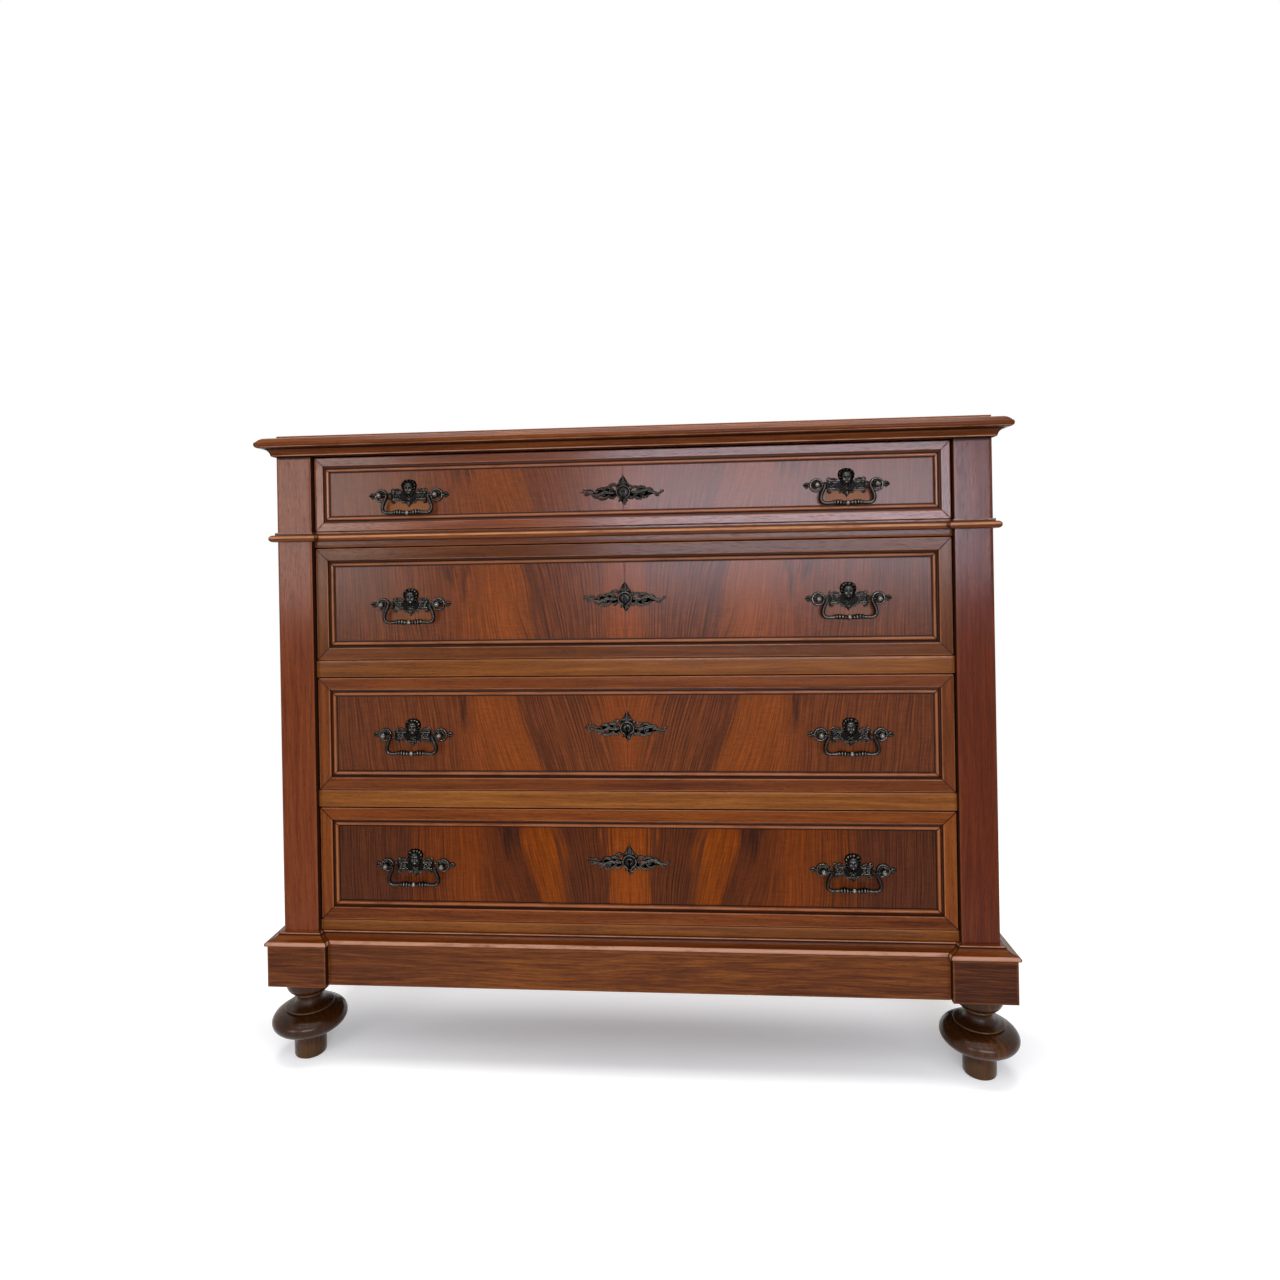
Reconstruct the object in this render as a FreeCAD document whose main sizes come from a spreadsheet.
# Chest of four drawers on turned bun feet, with pilasters, moulded cornice, waist and base.
# Millimetres. X runs across the front, Y towards the back, Z up.
# The origin is on the floor, under the middle of the whole chest.
import FreeCAD, Part
import math
import os
import re
from types import SimpleNamespace
from FreeCAD import Placement, Rotation, Vector

doc = FreeCAD.newDocument("chest")

# ---------------------------------------------------------------- driving dimensions

DRIVING = {
    # carcass
    "carcass_width": 1126.0,
    "carcass_depth": 525.0,
    "side_thickness": 22.0,
    "back_thickness": 8.0,
    "back_inset": 2.0,
    "bottom_thickness": 12.0,
    "pilaster_width": 57.0,
    "pilaster_depth": 32.2,
    "pilaster_proud": 10.2,
    "rail_height": 27.0,
    "waist_rail_height": 25.0,
    "bottom_rail_visible": 15.2,
    "rail_depth": 60.0,
    # base
    "foot_height": 137.0,
    "plinth_height": 64.5,
    "plinth_reach": 19.5,
    "plinth_thickness": 22.0,
    "block_depth": 96.0,
    "base_moulding_height": 16.8,
    "base_nose_radius": 4.0,
    "base_nose_reach": 23.0,
    "base_fillet_reach": 6.5,
    "base_fillet_height": 2.5,
    "base_cove_sag": 1.0,
    # top
    "top_thickness": 34.0,
    "top_field_rise": 2.4,
    "cornice_overhang": 24.7,
    "cornice_fillet_reach": 2.5,
    "cornice_fillet_height": 2.8,
    "cornice_cavetto_reach": 6.0,
    "cornice_cavetto_sag": 2.0,
    "cornice_soffit_reach": 14.5,
    "cornice_soffit_height": 13.3,
    "cornice_lip_setback": 3.2,
    "cornice_lip_height": 14.2,
    "cornice_nose_height": 17.6,
    "cornice_round_setback": 2.5,
    "cornice_round_rise": 4.6,
    "cornice_crown_setback": 6.9,
    "cornice_crown_rise": 9.2,
    "cornice_shoulder_setback": 13.7,
    "cornice_shoulder_rise": 11.8,
    # waist
    "waist_moulding_height": 15.0,
    "waist_nose_radius": 5.6,
    "waist_nose_reach": 10.3,
    "waist_fillet_reach": 3.0,
    # feet
    "foot_inset_side": 20.5,
    "foot_inset_front": 30.0,
    "foot_inset_rear": 62.0,
    "tenon_radius": 14.0,
    "tenon_length": 30.0,
    "tenon_clearance": 0.3,
    "disc_radius": 36.0,
    "disc_height": 20.0,
    "neck_radius": 20.0,
    "neck_bead_radius": 23.0,
    "neck_drop": 36.0,
    "flare_radius": 31.0,
    "flare_top_drop": 43.0,
    "flare_drop": 54.5,
    "ring_radius": 38.0,
    "ring_height": 3.5,
    "bun_radius": 59.0,
    "bun_height": 37.0,
    "bun_drop": 76.5,
    "peg_radius": 25.0,
    # drawers
    "drawer_height": 181.5,
    "top_drawer_height": 120.5,
    "gap_below": 1.0,
    "gap_above": 1.5,
    "gap_beside": 1.5,
    "front_thickness": 18.0,
    "panel_recess": 4.5,
    "frame_border": 19.5,
    "top_frame_border": 14.0,
    "arris_radius": 1.5,
    "quirk_height": 1.5,
    "cove_width": 4.7,
    "cove_height": 2.6,
    "cove_sag": 0.4,
    "bead_width": 9.5,
    "bead_crest_place": 7.2,
    "bead_crest_height": 3.6,
    "bead_edge_height": 1.3,
    "drawer_side_thickness": 12.0,
    "drawer_side_inset": 1.0,
    "drawer_side_drop": 6.0,
    "drawer_back_drop": 8.0,
    "drawer_bottom_thickness": 7.0,
    "drawer_bottom_lift": 10.0,
    "drawer_back_gap": 15.0,
    "running_gap": 0.3,
    # runners, guides and stops
    "runner_width": 61.0,
    "runner_thickness": 20.0,
    "guide_height": 15.0,
    "guide_gap": 1.5,
    "stop_place": 250.0,
    "stop_width": 40.0,
    "stop_depth": 24.0,
    "stop_height": 6.0,
    # locks
    "lock_width": 56.0,
    "lock_depth": 10.0,
    "lock_tail": 18.0,
    "keyhole_radius": 3.5,
    "keyhole_slot_width": 3.2,
    "keyhole_slot_drop": 9.0,
    "key_depth": 6.0,
    "bolt_width": 18.0,
    "bolt_thickness": 4.0,
    "bolt_above_key": 8.0,
    "bolt_rest_drop": 0.5,
    "bolt_fit": 0.3,
    "mortise_margin": 2.0,
    "mortise_depth": 9.0,
    # keyhole height from the middle of each front
    "key_rise_1": -6.5,
    "key_rise_2": 3.0,
    "key_rise_3": 8.0,
    "key_rise_4": 7.0,
    # escutcheons
    "escutcheon_width": 126.0,
    "escutcheon_thickness": 2.0,
    "shield_width": 27.0,
    "shield_height": 23.0,
    "wing_height": 14.0,
    "spire_width": 16.0,
    "spire_rise": 24.0,
    "tail_drop": 21.0,
    # pulls
    "pull_place": 348.0,
    "pull_drop": 2.0,
    "top_pull_drop": 4.0,
    "ball_place": 46.0,
    "ball_radius": 6.0,
    "ball_stand": 11.0,
    "post_radius": 2.6,
    "plate_thickness": 2.5,
    "plaque_width": 62.0,
    "plaque_height": 17.0,
    "ring_plate_radius": 10.5,
    "finial_length": 9.0,
    "finial_height": 7.0,
    "mask_width": 26.0,
    "mask_height": 31.0,
    "mask_rise": 6.0,
    "mask_relief": 8.0,
    "crest_width": 16.0,
    "crest_rise": 26.0,
    "pendant_width": 8.0,
    "pendant_height": 10.0,
    "pendant_drop": 12.7,
    "pendant_relief": 4.0,
    "pin_radius": 1.6,
    "pin_fit": 0.06,
    "pin_depth": 2.0,
    "pin_end_gap": 0.4,
    "bail_radius": 2.2,
    "bail_elbow_radius": 2.3,
    "bail_top_place": 34.5,
    "bail_corner_place": 45.5,
    "bail_drop": 30.0,
    "bail_corner_radius": 8.0,
    "bail_knob_radius": 3.5,
    "bail_knob_length": 9.0,
}

sheet = doc.addObject("Spreadsheet::Sheet", "Sizes")
for row, (alias, number) in enumerate(DRIVING.items(), start=1):
    sheet.set(f"A{row}", alias)
    sheet.set(f"B{row}", str(number))
    sheet.setAlias(f"B{row}", alias)
doc.recompute()
size = SimpleNamespace(**{alias: float(sheet.get(alias)) for alias in DRIVING})

# ---------------------------------------------------------------- places worked out from them

DERIVED = {
    "half_width": "carcass_width / 2",
    "front_plane": "(pilaster_proud + cornice_overhang - carcass_depth) / 2",
    "back_plane": "front_plane + carcass_depth",
    "pilaster_face": "front_plane - pilaster_proud",
    "pilaster_inner": "half_width - pilaster_width",
    "pilaster_back": "pilaster_face + pilaster_depth",
    "side_inner": "half_width - side_thickness",
    "back_face": "back_plane - back_inset - back_thickness",
    "rail_back": "front_plane + rail_depth",
    "block_outer": "half_width + plinth_reach",
    "block_inner": "pilaster_inner - plinth_reach",
    "plinth_top": "foot_height + plinth_height",
    "base_top": "plinth_top + base_moulding_height",
    "opening_height": "drawer_height + gap_below + gap_above",
    "shelf_4": "base_top + bottom_rail_visible",
    "shelf_3": "shelf_4 + opening_height + rail_height",
    "shelf_2": "shelf_3 + opening_height + rail_height",
    "shelf_1": "shelf_2 + opening_height + waist_rail_height",
    "top_underside": "shelf_1 + top_drawer_height + gap_below + gap_above",
    "top_face": "top_underside + top_thickness",
    "waist_underside": "shelf_1 - waist_moulding_height",
    "front_half": "pilaster_inner - gap_beside",
    "panel_plane": "front_plane + panel_recess",
    "front_back": "panel_plane + front_thickness",
    "drawer_side_outer": "front_half - drawer_side_inset",
    "drawer_side_inner": "drawer_side_outer - drawer_side_thickness",
    "drawer_end": "back_face - drawer_back_gap",
    "lock_face": "front_back - lock_depth",
    "bolt_middle": "front_back - lock_depth / 2",
    "foot_place": "half_width - foot_inset_side",
    "front_foot_line": "front_plane + foot_inset_front",
    "rear_foot_line": "back_plane - foot_inset_rear",
    "plate_face": "panel_plane - plate_thickness",
    "pivot_line": "panel_plane - ball_stand",
}

DRAWERS = (1, 2, 3, 4)
for number in DRAWERS:
    height = "top_drawer_height" if number == 1 else "drawer_height"
    drop = "top_pull_drop" if number == 1 else "pull_drop"
    DERIVED[f"front_low_{number}"] = f"shelf_{number} + gap_below"
    DERIVED[f"front_high_{number}"] = f"front_low_{number} + {height}"
    DERIVED[f"front_middle_{number}"] = f"(front_low_{number} + front_high_{number}) / 2"
    DERIVED[f"key_height_{number}"] = f"front_middle_{number} + key_rise_{number}"
    DERIVED[f"pull_height_{number}"] = f"front_middle_{number} - {drop}"

places = doc.addObject("App::VarSet", "Places")


def bound(text):
    """The expression with each name led by the object that holds it."""
    def owner(match):
        name = match.group()
        return ("Sizes." if name in DRIVING else "Places.") + name
    return re.sub(r"[a-z][a-z_0-9]*", owner, text)


for name, text in DERIVED.items():
    places.addProperty("App::PropertyFloat", name)
    places.setExpression(name, bound(text))
doc.recompute()
at = SimpleNamespace(**{name: float(getattr(places, name)) for name in DERIVED})

nodes = []


def node(sub_part, name):
    """Names a finished sub-part and keeps it for export."""
    sub_part.Label = name
    nodes.append(sub_part)
    return sub_part


# ---------------------------------------------------------------- building blocks


def put(shape, place):
    """Binds where a primitive stands to three expressions."""
    for axis, text in zip("xyz", place):
        shape.setExpression(f"Placement.Base.{axis}", bound(text))
    return shape


def board(name, low, high):
    """A box between two corners, each given as three expressions."""
    box = doc.addObject("Part::Box", name)
    for side, start, end in zip(("Length", "Width", "Height"), low, high):
        box.setExpression(side, bound(f"({end}) - ({start})"))
    return put(box, low)


def board_pair(name, low, high):
    """The same box on the right and, mirrored, on the left."""
    left_low = (f"-({high[0]})", low[1], low[2])
    left_high = (f"-({low[0]})", high[1], high[2])
    return [board(f"{name}_left", left_low, left_high), board(f"{name}_right", low, high)]


def cylinder(name, place, radius, height, direction=Vector(0, 0, 1)):
    """A cylinder that starts at a place and runs along a direction."""
    round_bar = doc.addObject("Part::Cylinder", name)
    round_bar.Placement = Placement(Vector(), Rotation(Vector(0, 0, 1), direction))
    round_bar.setExpression("Radius", bound(radius))
    round_bar.setExpression("Height", bound(height))
    return put(round_bar, place)


def cone(name, place, low_radius, high_radius, height):
    """An upright cone with its lower face at a place."""
    taper = doc.addObject("Part::Cone", name)
    taper.setExpression("Radius1", bound(low_radius))
    taper.setExpression("Radius2", bound(high_radius))
    taper.setExpression("Height", bound(height))
    return put(taper, place)


def torus(name, place, ring_radius, section_radius):
    """A level torus about a place."""
    ring = doc.addObject("Part::Torus", name)
    ring.setExpression("Radius1", bound(ring_radius))
    ring.setExpression("Radius2", bound(section_radius))
    return put(ring, place)


def ellipsoid(name, place, width, depth, height):
    """An ellipsoid about a place, with its full sizes on X, Y and Z."""
    round_form = doc.addObject("Part::Ellipsoid", name)
    round_form.Angle1 = -90
    round_form.Angle2 = 90
    round_form.Angle3 = 360
    round_form.Placement = Placement(Vector(), Rotation(Vector(0, 0, 1), 90))
    for side, text in (("Radius1", height), ("Radius2", depth), ("Radius3", width)):
        round_form.setExpression(side, bound(f"({text}) / 2"))
    return put(round_form, place)


def group(name, members):
    """Separate solids of one sub-part."""
    together = doc.addObject("Part::Compound", name)
    together.Links = members
    return together


def fuse(name, members):
    """One solid from several."""
    whole = doc.addObject("Part::MultiFuse", name)
    whole.Shapes = members
    return whole


def cut(name, base, tools):
    """A solid with others taken out of it."""
    for number, tool in enumerate(tools):
        rest = doc.addObject("Part::Cut", f"{name}_{number}")
        rest.Base = base
        rest.Tool = tool
        base = rest
    return base


def shape_feature(name, shape, place=Placement()):
    """A sub-part whose shape is set here and then placed."""
    feature = doc.addObject("Part::Feature", name)
    feature.Shape = shape
    feature.Placement = place
    return feature


def arc(start, middle, end):
    """An arc through three (outward, up) points of a moulding's section."""
    return Part.Arc(*[Vector(0, -out, up) for out, up in (start, middle, end)]).toShape()


def line(start, end):
    """A straight edge between two (outward, up) points of a moulding's section."""
    return Part.LineSegment(*[Vector(0, -out, up) for out, up in (start, end)]).toShape()


def strip(section, start, end, start_mitre, end_mitre):
    """A moulding along X from start to end, its section outward on -Y and up on Z.

    A mitre of 1 lengthens or shortens that end by the outward distance towards +X,
    a mitre of -1 towards -X, and 0 leaves it square.
    """
    face = Part.Face(Part.Wire(section))
    box = face.BoundBox
    reach = -box.YMin
    face.translate(Vector(start - reach, 0, 0))
    bar = face.extrude(Vector(end - start + 2 * reach, 0, 0))
    corners = [(start, 0), (start + start_mitre * reach, -reach),
               (end + end_mitre * reach, -reach), (end, 0)]
    outline = Part.makePolygon([Vector(x, y, box.ZMin) for x, y in corners + corners[:1]])
    mitre_block = Part.Face(outline).extrude(Vector(0, 0, box.ZLength))
    return bar.common(mitre_block).Solids[0]


def facing(solid, angle, place):
    """The moulding turned about Z, then moved."""
    return solid.copy().transformed(Placement(place, Rotation(Vector(0, 0, 1), angle)).toMatrix())


# ---------------------------------------------------------------- carcass

strike_tools = {}
for number in DRAWERS:
    rail_underside = "top_underside" if number == 1 else f"shelf_{number} + opening_height"
    strike_tools[number] = board(
        f"strike_mortise_{number}",
        ("-bolt_width / 2 - mortise_margin", "bolt_middle - bolt_thickness / 2 - mortise_margin",
         rail_underside),
        ("bolt_width / 2 + mortise_margin", "bolt_middle + bolt_thickness / 2 + mortise_margin",
         f"{rail_underside} + mortise_depth"))

top_plain = board("top_plain", ("-half_width", "pilaster_face", "top_underside"),
                  ("half_width", "back_plane", "top_face"))
node(cut("top", top_plain, [strike_tools[1]]), "top_board")

for side, name in zip(board_pair("side", ("side_inner", "pilaster_back", "plinth_top"),
                                 ("half_width", "back_plane", "top_underside")),
                      ("side_left", "side_right")):
    node(side, name)

for post, name in zip(board_pair("pilaster", ("pilaster_inner", "pilaster_face", "plinth_top"),
                                 ("half_width", "pilaster_back", "top_underside")),
                      ("pilaster_left", "pilaster_right")):
    node(post, name)

node(board("back", ("-side_inner", "back_face", "plinth_top"),
           ("side_inner", "back_face + back_thickness", "top_underside")), "back_panel")
node(board("bottom", ("-side_inner", "rail_back", "plinth_top"),
           ("side_inner", "back_face", "plinth_top + bottom_thickness")), "bottom_board")
node(board("lowest_rail", ("-pilaster_inner", "front_plane", "plinth_top"),
           ("pilaster_inner", "rail_back", "shelf_4")), "bottom_rail")


def rail_above(number, height):
    """The rail over a drawer's opening, with the mortise that its bolt enters."""
    low = f"shelf_{number} + opening_height"
    plain = board(f"rail_plain_{number}", ("-pilaster_inner", "front_plane", low),
                  ("pilaster_inner", "rail_back", f"{low} + {height}"))
    return cut(f"rail_{number}", plain, [strike_tools[number]])


node(rail_above(2, "waist_rail_height"), "waist_rail")
node(group("rails", [rail_above(3, "rail_height"), rail_above(4, "rail_height")]), "drawer_rails")

runners = []
stops = []
for number in DRAWERS:
    shelf = f"shelf_{number}"
    runners += board_pair(f"runner_{number}",
                          ("side_inner - runner_width", "rail_back", f"{shelf} - runner_thickness"),
                          ("side_inner", "back_face", shelf))
    runners += board_pair(f"guide_{number}", ("drawer_side_outer + guide_gap", "rail_back", shelf),
                          ("side_inner", "back_face", f"{shelf} + guide_height"))
    stops += board_pair(f"stop_{number}", ("stop_place", "front_back + running_gap", shelf),
                        ("stop_place + stop_width", "front_back + running_gap + stop_depth",
                         f"{shelf} + stop_height"))
node(group("runners", runners), "drawer_runners")
node(group("stops", stops), "drawer_stops")

# ---------------------------------------------------------------- plinth and feet

node(board("plinth_middle", ("-block_inner", "front_plane - plinth_reach", "foot_height"),
           ("block_inner", "front_plane - plinth_reach + plinth_thickness", "plinth_top")),
     "plinth_front")
FRONT_BLOCK = ("pilaster_face - plinth_reach", "pilaster_face - plinth_reach + block_depth")
REAR_BLOCK = ("back_plane - block_depth", "back_plane")
plinth_rest = board_pair("plinth_side",
                         ("block_outer - plinth_thickness", FRONT_BLOCK[1], "foot_height"),
                         ("block_outer", REAR_BLOCK[0], "plinth_top"))
plinth_rest.append(board("plinth_back",
                         ("-block_inner", "back_plane - plinth_thickness", "foot_height"),
                         ("block_inner", "back_plane", "plinth_top")))
node(group("plinth_rest", plinth_rest), "plinth_boards")


def turned_foot(name, side, foot_line):
    """A turned foot: tenon, disc, ovolo, neck, flare, ring, round-edged bun and peg, fused."""
    axis = f"{side} * foot_place"

    def below_block(drop):
        return (axis, foot_line, f"foot_height - ({drop})")

    bun_core = "bun_radius - bun_height / 2"
    return fuse(name, [
        cylinder(f"{name}_tenon", below_block("0"), "tenon_radius", "tenon_length"),
        cylinder(f"{name}_disc", below_block("disc_height"), "disc_radius", "disc_height"),
        cone(f"{name}_ovolo", below_block("neck_drop"), "neck_bead_radius", "disc_radius",
             "neck_drop - disc_height"),
        cylinder(f"{name}_neck", below_block("bun_drop"), "neck_radius", "bun_drop"),
        cone(f"{name}_flare", below_block("flare_drop"), "flare_radius", "neck_radius",
             "flare_drop - flare_top_drop"),
        cylinder(f"{name}_ring", below_block("flare_drop + ring_height"), "ring_radius",
                 "ring_height"),
        cylinder(f"{name}_core", below_block("bun_drop + bun_height / 2"), bun_core, "bun_height"),
        torus(f"{name}_bun", below_block("bun_drop"), bun_core, "bun_height / 2"),
        cylinder(f"{name}_peg", (axis, foot_line, "0"), "peg_radius", "foot_height - bun_drop"),
    ])


blocks = []
for row, block, foot_line, node_name in (("front", FRONT_BLOCK, "front_foot_line", "front_feet"),
                                         ("rear", REAR_BLOCK, "rear_foot_line", "rear_feet")):
    plain_pair = board_pair(f"{row}_block", ("block_inner", block[0], "foot_height"),
                            ("block_outer", block[1], "plinth_top"))
    for side, plain in zip((-1, 1), plain_pair):
        bore = cylinder(f"{plain.Name}_bore", (f"{side} * foot_place", foot_line, "foot_height"),
                        "tenon_radius + tenon_clearance", "tenon_length + tenon_clearance")
        blocks.append(cut(f"{plain.Name}_bored", plain, [bore]))
    feet = [turned_foot(f"{row}_foot_{hand}", side, foot_line)
            for hand, side in (("left", -1), ("right", 1))]
    node(group(node_name, feet), node_name)
node(group("blocks", blocks), "plinth_blocks")

# ---------------------------------------------------------------- mouldings


def sagging(start, end, sag):
    """The point half way between two others, moved in and down by the sag."""
    return ((start[0] + end[0]) / 2 - sag, (start[1] + end[1]) / 2 - sag)


def base_section():
    """Torus nose, shallow cove and top fillet, standing on the plinth."""
    nose = size.base_nose_radius
    centre = size.base_nose_reach - nose
    fillet_low = size.base_moulding_height - size.base_fillet_height
    cove_start = (centre, 2 * nose)
    cove_end = (size.base_fillet_reach, fillet_low)
    cove_middle = sagging(cove_start, cove_end, size.base_cove_sag)
    top = (size.base_fillet_reach, size.base_moulding_height)
    return [line((0, 0), (centre, 0)),
            arc((centre, 0), (size.base_nose_reach, nose), cove_start),
            arc(cove_start, cove_middle, cove_end),
            line(cove_end, top),
            line(top, (0, size.base_moulding_height)),
            line((0, size.base_moulding_height), (0, 0))]


def waist_section():
    """Half-round astragal under a narrow fillet."""
    nose = size.waist_nose_radius
    centre = size.waist_nose_reach - nose
    fillet_low = (size.waist_fillet_reach, 2 * nose)
    top = (size.waist_fillet_reach, size.waist_moulding_height)
    return [line((0, 0), (centre, 0)),
            arc((centre, 0), (size.waist_nose_reach, nose), (centre, 2 * nose)),
            line((centre, 2 * nose), fillet_low),
            line(fillet_low, top),
            line(top, (0, size.waist_moulding_height)),
            line((0, size.waist_moulding_height), (0, 0))]


def cornice_section():
    """Fillet, cavetto, undercut thumb nose and gently crowned top, up to the raised field."""
    fillet = (size.cornice_fillet_reach, size.cornice_fillet_height)
    cavetto_low = (size.cornice_cavetto_reach, size.cornice_fillet_height)
    soffit = (size.cornice_soffit_reach, size.cornice_soffit_height)
    cavetto_middle = ((cavetto_low[0] + soffit[0]) / 2 - size.cornice_cavetto_sag,
                      (cavetto_low[1] + soffit[1]) / 2 + size.cornice_cavetto_sag)

    def from_nose(setback, rise):
        return (size.cornice_overhang - setback, size.cornice_nose_height + rise)

    lip = (size.cornice_overhang - size.cornice_lip_setback, size.cornice_lip_height)
    round_end = from_nose(size.cornice_round_setback, size.cornice_round_rise)
    crown = from_nose(size.cornice_crown_setback, size.cornice_crown_rise)
    shoulder = from_nose(size.cornice_shoulder_setback, size.cornice_shoulder_rise)
    top = (0, size.top_thickness - size.top_field_rise)
    return [line((0, 0), (fillet[0], 0)), line((fillet[0], 0), fillet),
            line(fillet, cavetto_low), arc(cavetto_low, cavetto_middle, soffit),
            line(soffit, lip), arc(lip, from_nose(0, 0), round_end),
            arc(round_end, crown, shoulder), line(shoulder, top), line(top, (0, 0))]


def around_front(section, level):
    """Mitred strips along the front and both sides of the whole carcass."""
    front = strip(section, -at.half_width, at.half_width, -1, 1)
    side_length = at.back_plane - at.pilaster_face
    right = strip(section, 0, side_length, -1, 0)
    left = strip(section, -side_length, 0, 0, 1)
    return [facing(front, 0, Vector(0, at.pilaster_face, level)),
            facing(right, 90, Vector(at.half_width, at.pilaster_face, level)),
            facing(left, -90, Vector(-at.half_width, at.pilaster_face, level))]


def around_pilasters(section, level):
    """Mitred strips that break forward round each pilaster and run on along the sides."""
    side_length = at.back_plane - at.pilaster_face
    step = size.pilaster_proud
    middle = strip(section, -at.pilaster_inner, at.pilaster_inner, 1, -1)
    pieces = [facing(middle, 0, Vector(0, at.front_plane, level))]
    over_pilaster = strip(section, -size.pilaster_width / 2, size.pilaster_width / 2, -1, 1)
    pilaster_middle = at.half_width - size.pilaster_width / 2
    for hand in (-1, 1):
        pieces.append(facing(over_pilaster, 0, Vector(hand * pilaster_middle, at.pilaster_face, level)))
    right = strip(section, 0, side_length, -1, 0)
    left = strip(section, -side_length, 0, 0, 1)
    pieces.append(facing(right, 90, Vector(at.half_width, at.pilaster_face, level)))
    pieces.append(facing(left, -90, Vector(-at.half_width, at.pilaster_face, level)))
    right_return = strip(section, -step, 0, 1, 1)
    left_return = strip(section, 0, step, -1, -1)
    pieces.append(facing(right_return, -90, Vector(at.pilaster_inner, at.pilaster_face, level)))
    pieces.append(facing(left_return, 90, Vector(-at.pilaster_inner, at.pilaster_face, level)))
    return pieces


node(shape_feature("cornice", Part.makeCompound(around_front(cornice_section(), at.top_underside))),
     "cornice_moulding")
node(shape_feature("waist", Part.makeCompound(around_pilasters(waist_section(), at.waist_underside))),
     "waist_moulding")
node(shape_feature("base", Part.makeCompound(around_pilasters(base_section(), at.plinth_top))),
     "base_moulding")

# ---------------------------------------------------------------- drawers


def frame_section(border):
    """Flat border with a rounded arris, then a quirk, a cove and a bead beside the panel."""
    arris = size.arris_radius
    face = size.panel_recess
    inset = arris * (1 - math.sqrt(0.5))
    quirk = (border, size.quirk_height)
    cove_end = (border + size.cove_width, size.cove_height)
    cove_middle = (border + size.cove_width / 2,
                   (size.quirk_height + size.cove_height) / 2 - size.cove_sag)
    crest = (border + size.bead_crest_place, size.bead_crest_height)
    bead_edge = (border + size.bead_width, size.bead_edge_height)
    return [line((0, 0), (0, face)), line((0, face), (border - arris, face)),
            arc((border - arris, face), (border - inset, face - inset), (border, face - arris)),
            line((border, face - arris), quirk), arc(quirk, cove_middle, cove_end),
            arc(cove_end, crest, bead_edge), line(bead_edge, (bead_edge[0], 0)),
            line((bead_edge[0], 0), (0, 0))]


def mitred_frame(border, height):
    """Four mitred strips round a drawer front, seen from the front, about its middle."""
    section = frame_section(border)
    strips = []
    for turn, length, offset in ((0, 2 * at.front_half, height / 2), (90, height, at.front_half),
                                 (180, 2 * at.front_half, height / 2), (270, height, at.front_half)):
        piece = strip(section, -length / 2, length / 2, 1, -1)
        upright = Placement(Vector(0, 0, offset), Rotation(Vector(1, 0, 0), 90))
        about_front = Placement(Vector(), Rotation(Vector(0, 1, 0), turn))
        strips.append(piece.transformed(about_front.multiply(upright).toMatrix()))
    return Part.makeCompound(strips)


def key_way(name, number, start, end):
    """The keyhole's round and slot, from one depth to another."""
    height = f"key_height_{number}"
    round_hole = cylinder(f"{name}_round", ("0", start, height), "keyhole_radius",
                          f"({end}) - ({start})", Vector(0, 1, 0))
    slot = board(f"{name}_slot", ("-keyhole_slot_width / 2", start, f"{height} - keyhole_slot_drop"),
                 ("keyhole_slot_width / 2", end, height))
    return [round_hole, slot]


def lock_box(name, number):
    """The outside of a lock case, from its tail to the top of the front."""
    return board(name, ("-lock_width / 2", "lock_face", f"key_height_{number} - lock_tail"),
                 ("lock_width / 2", "front_back", f"front_high_{number}"))


def drawer_front(number):
    """The board behind the frame: its face is the sunk panel, its back takes the lock."""
    name = f"front_{number}"
    plain = board(f"{name}_plain", ("-front_half", "panel_plane", f"front_low_{number}"),
                  ("front_half", "front_back", f"front_high_{number}"))
    tools = [lock_box(f"{name}_lock_bed", number)]
    tools += key_way(f"{name}_key", number, "panel_plane", "lock_face")
    return cut(name, plain, tools)


def drawer_box(number):
    """Two sides and a back, as separate boards."""
    side_high = f"front_high_{number} - drawer_side_drop"
    sides = board_pair(f"drawer_side_{number}",
                       ("drawer_side_inner", "front_back", f"shelf_{number} + running_gap"),
                       ("drawer_side_outer", "drawer_end", side_high))
    bottom_high = f"shelf_{number} + running_gap + drawer_bottom_lift + drawer_bottom_thickness"
    back = board(f"drawer_back_{number}",
                 ("-drawer_side_inner", "drawer_end - drawer_side_thickness", bottom_high),
                 ("drawer_side_inner", "drawer_end", f"{side_high} - drawer_back_drop"))
    return group(f"box_{number}", sides + [back])


def drawer_bottom(number):
    """The bottom board, held above the runners."""
    low = f"shelf_{number} + running_gap + drawer_bottom_lift"
    return board(f"bottom_{number}", ("-drawer_side_inner", "front_back", low),
                 ("drawer_side_inner", "drawer_end", f"{low} + drawer_bottom_thickness"))


def lock_case(number):
    """The lock's case with its keyhole and the channel that the bolt slides in."""
    name = f"lock_{number}"
    channel = board(f"{name}_channel",
                    ("-bolt_width / 2 - bolt_fit", "bolt_middle - bolt_thickness / 2 - bolt_fit",
                     f"key_height_{number} + bolt_above_key - bolt_fit"),
                    ("bolt_width / 2 + bolt_fit", "bolt_middle + bolt_thickness / 2 + bolt_fit",
                     f"front_high_{number}"))
    tools = key_way(f"{name}_key", number, "lock_face", "lock_face + key_depth") + [channel]
    return cut(name, lock_box(f"{name}_case", number), tools)


def lock_bolt(number):
    """The bolt, drawn down into the case."""
    return board(f"bolt_{number}",
                 ("-bolt_width / 2", "bolt_middle - bolt_thickness / 2",
                  f"key_height_{number} + bolt_above_key"),
                 ("bolt_width / 2", "bolt_middle + bolt_thickness / 2",
                  f"front_high_{number} - bolt_rest_drop"))


def flat_plate(corners, thickness):
    """A plate with a straight-sided outline given as (across, up) corners, its back at +Y."""
    points = [Vector(across, 0, up) for across, up in corners]
    return Part.Face(Part.makePolygon(points + points[:1])).extrude(Vector(0, thickness, 0))


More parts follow.
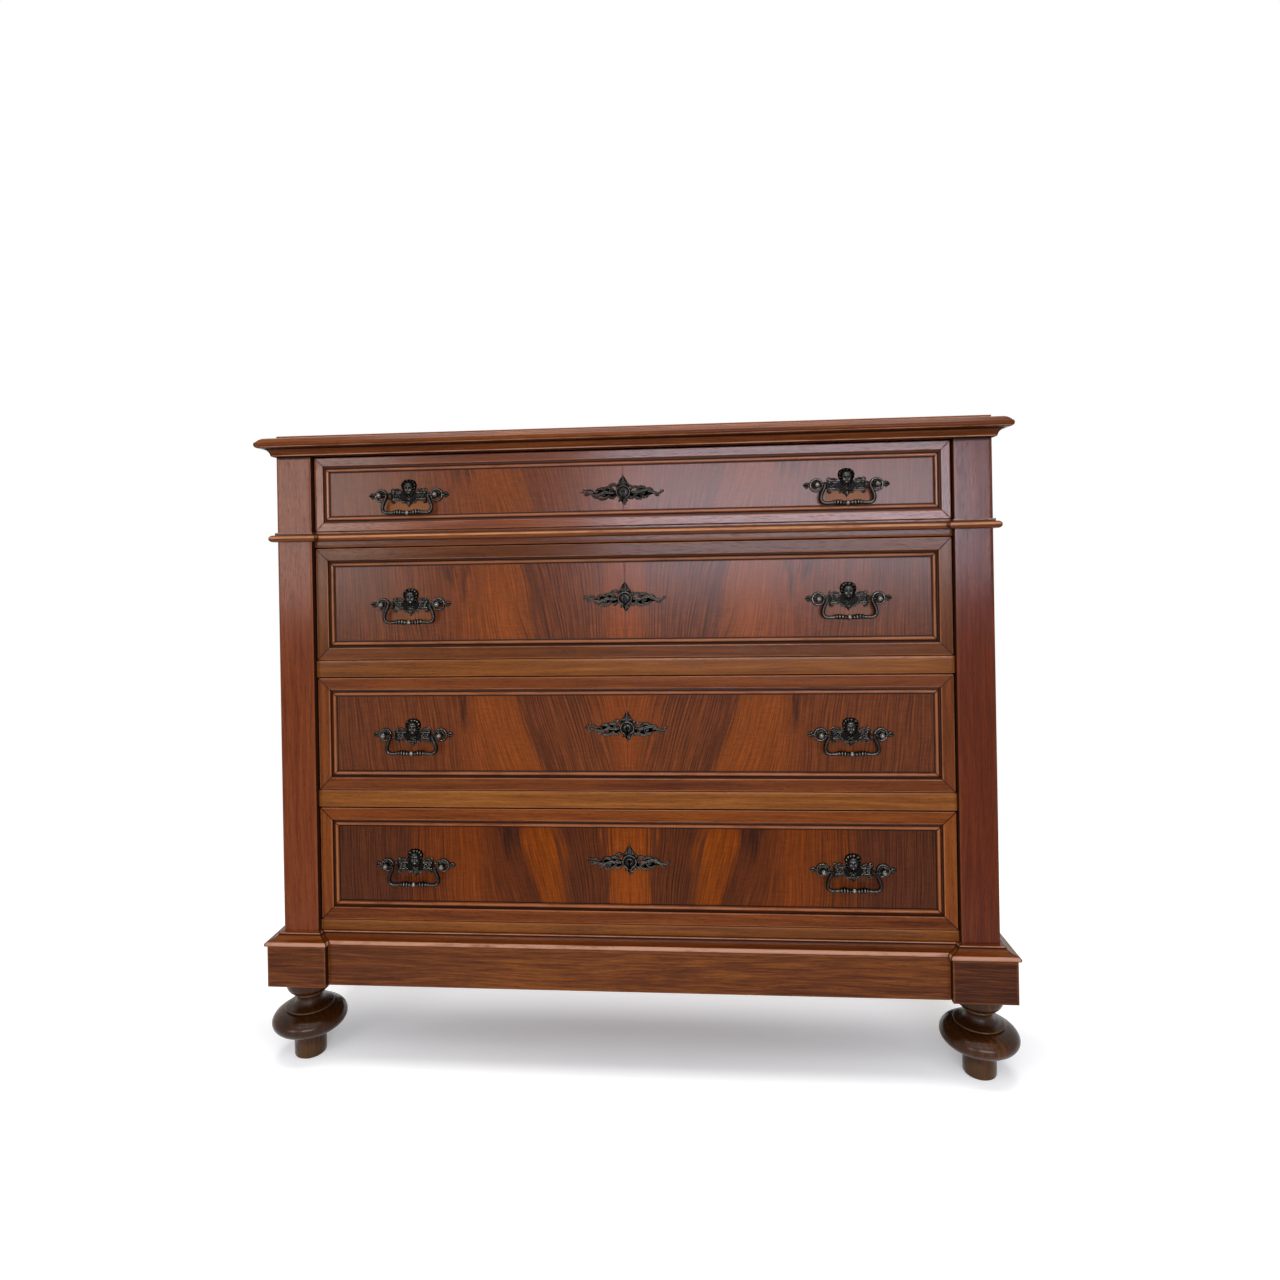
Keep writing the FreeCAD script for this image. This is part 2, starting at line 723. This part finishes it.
def escutcheon_shape():
    """Oval shield with pointed wings, spire and tail, pierced for the key."""
    thickness = size.escutcheon_thickness
    half = size.escutcheon_width / 2
    wing = size.wing_height / 2
    spire = size.spire_width / 2
    oval = Part.Ellipse(Vector(), size.shield_width / 2, size.shield_height / 2).toShape()
    shield = Part.Face(Part.Wire(oval)).extrude(Vector(0, 0, thickness))
    shield = facing_front(shield, thickness)
    wings = flat_plate([(-half, 0), (0, wing), (half, 0), (0, -wing)], thickness)
    points = flat_plate([(-spire, 0), (0, size.spire_rise), (spire, 0), (0, -size.tail_drop)],
                        thickness)
    round_hole = Part.makeCylinder(size.keyhole_radius, thickness, Vector(), Vector(0, 1, 0))
    slot = Part.makeBox(size.keyhole_slot_width, thickness, size.keyhole_slot_drop,
                        Vector(-size.keyhole_slot_width / 2, 0, -size.keyhole_slot_drop))
    return shield.fuse([wings, points]).cut([round_hole, slot])


def facing_front(plate, thickness):
    """A plate lying on the floor, stood up with its back at +Y."""
    upright = Placement(Vector(0, thickness, 0), Rotation(Vector(1, 0, 0), 90))
    return plate.transformed(upright.toMatrix())


def pull_plate(name, number, side):
    """A cast backplate with mask, pendant, ring plates and two ball posts bored for the bail."""
    middle = f"{side} * pull_place"
    height = f"pull_height_{number}"

    def slab(part, width, low, high):
        return board(f"{name}_{part}",
                     (f"{middle} - ({width}) / 2", "plate_face", f"{height} + ({low})"),
                     (f"{middle} + ({width}) / 2", "panel_plane", f"{height} + ({high})"))

    solids = [
        slab("plaque", "plaque_width", "-plaque_height / 2", "plaque_height / 2"),
        slab("bar", "2 * (ball_place + ring_plate_radius + finial_length)", "-finial_height / 2",
             "finial_height / 2"),
        slab("crest", "crest_width", "0", "crest_rise"),
        ellipsoid(f"{name}_mask", (middle, "plate_face", f"{height} + mask_rise"),
                  "mask_width", "2 * mask_relief", "mask_height"),
        ellipsoid(f"{name}_pendant", (middle, "plate_face", f"{height} - pendant_drop"),
                  "pendant_width", "2 * pendant_relief", "pendant_height"),
    ]
    bores = []
    for ear in (-1, 1):
        ball_middle = f"{middle} + {ear} * ball_place"
        ear_name = f"{name}_{'left' if ear < 0 else 'right'}"
        solids.append(cylinder(f"{ear_name}_ring", (ball_middle, "plate_face", height),
                               "ring_plate_radius", "plate_thickness", Vector(0, 1, 0)))
        solids.append(cylinder(f"{ear_name}_post", (ball_middle, "pivot_line", height),
                               "post_radius", "ball_stand", Vector(0, 1, 0)))
        solids.append(ellipsoid(f"{ear_name}_ball", (ball_middle, "pivot_line", height),
                                "2 * ball_radius", "2 * ball_radius", "2 * ball_radius"))
        bores.append(cylinder(f"{ear_name}_bore",
                              (f"{middle} + {ear} * (ball_place - ball_radius)", "pivot_line", height),
                              "pin_radius + pin_fit", "ball_radius + pin_depth + pin_end_gap",
                              Vector(ear, 0, 0)))
    behind = slab("behind", "2 * pull_place", "-pull_place / 2", "pull_place / 2")
    behind.setExpression("Width", bound("2 * mask_relief"))
    behind.setExpression("Placement.Base.y", bound("panel_plane"))
    return cut(name, fuse(f"{name}_body", solids), [behind] + bores)


def bail_shape():
    """A drop handle about its pivot line: two pins, splayed arms, a bar and a turned knob."""
    top = Vector(size.bail_top_place, 0, 0)
    corner = Vector(size.bail_corner_place, 0, -size.bail_drop)
    arm = (top - corner).normalize()
    turn = arm.getAngle(Vector(-1, 0, 0))
    setback = size.bail_corner_radius / math.tan(turn / 2)
    arm_end = corner + arm * setback
    bar_end = corner + Vector(-1, 0, 0) * setback
    inward = (arm + Vector(-1, 0, 0)).normalize()
    centre = corner + inward * (size.bail_corner_radius / math.sin(turn / 2))
    bend = centre - inward * size.bail_corner_radius

    def mirrored(point):
        return Vector(-point.x, point.y, point.z)

    path = Part.Wire([
        Part.LineSegment(top, arm_end).toShape(),
        Part.Arc(arm_end, bend, bar_end).toShape(),
        Part.LineSegment(bar_end, mirrored(bar_end)).toShape(),
        Part.Arc(mirrored(bar_end), mirrored(bend), mirrored(arm_end)).toShape(),
        Part.LineSegment(mirrored(arm_end), mirrored(top)).toShape()])
    section = Part.Wire(Part.Circle(top, arm, size.bail_radius).toShape())
    rod = path.makePipeShell([section], True, False)
    knob = Part.makeCylinder(size.bail_knob_radius, size.bail_knob_length,
                             Vector(-size.bail_knob_length / 2, 0, -size.bail_drop), Vector(1, 0, 0))
    solids = [knob]
    pin_length = size.ball_place + size.pin_depth - size.bail_top_place
    for hand in (-1, 1):
        elbow = Vector(hand * size.bail_top_place, 0, 0)
        solids.append(Part.makeSphere(size.bail_elbow_radius, elbow))
        solids.append(Part.makeCylinder(size.pin_radius, pin_length, elbow, Vector(hand, 0, 0)))
    return rod.multiFuse(solids).Solids[0]


bail = bail_shape()
escutcheon_plate = escutcheon_shape()
for number in DRAWERS:
    border = size.top_frame_border if number == 1 else size.frame_border
    low = getattr(at, f"front_low_{number}")
    high = getattr(at, f"front_high_{number}")
    pull_height = getattr(at, f"pull_height_{number}")
    prefix = f"drawer_{number}"
    node(drawer_front(number), f"{prefix}_front")
    middle = Placement(Vector(0, at.panel_plane, (low + high) / 2), Rotation())
    node(shape_feature(f"frame_{number}", mitred_frame(border, high - low), middle),
         f"{prefix}_frame")
    node(drawer_box(number), f"{prefix}_box")
    node(drawer_bottom(number), f"{prefix}_bottom")
    node(lock_case(number), f"{prefix}_lock")
    node(lock_bolt(number), f"{prefix}_bolt")
    key_place = Vector(0, at.panel_plane - size.escutcheon_thickness,
                       getattr(at, f"key_height_{number}"))
    node(shape_feature(f"escutcheon_{number}", escutcheon_plate, Placement(key_place, Rotation())),
         f"{prefix}_escutcheon")
    plates = [pull_plate(f"pull_{number}_{hand}", number, side)
              for hand, side in (("left", -1), ("right", 1))]
    node(group(f"plates_{number}", plates), f"{prefix}_pull_plates")
    for hand, side in (("left", -1), ("right", 1)):
        place = Placement(Vector(side * size.pull_place, at.pivot_line, pull_height), Rotation())
        node(shape_feature(f"bail_{number}_{hand}", bail, place), f"{prefix}_bail_{hand}")

# ---------------------------------------------------------------- check and write

doc.recompute()
for item in doc.Objects:
    if "Invalid" in item.State or "Error" in item.State:
        raise RuntimeError(f"{item.Label} failed to build: {item.State}")
for sub_part in nodes:
    if sub_part.Shape.isNull() or not sub_part.Shape.isValid() or not sub_part.Shape.Solids:
        raise RuntimeError(f"{sub_part.Label} has no valid solid")

os.makedirs("parts", exist_ok=True)
for sub_part in nodes:
    sub_part.Shape.exportStep(f"parts/{sub_part.Label}.step")
print(len(nodes), "sub-parts,", sum(len(sub_part.Shape.Solids) for sub_part in nodes), "solids")
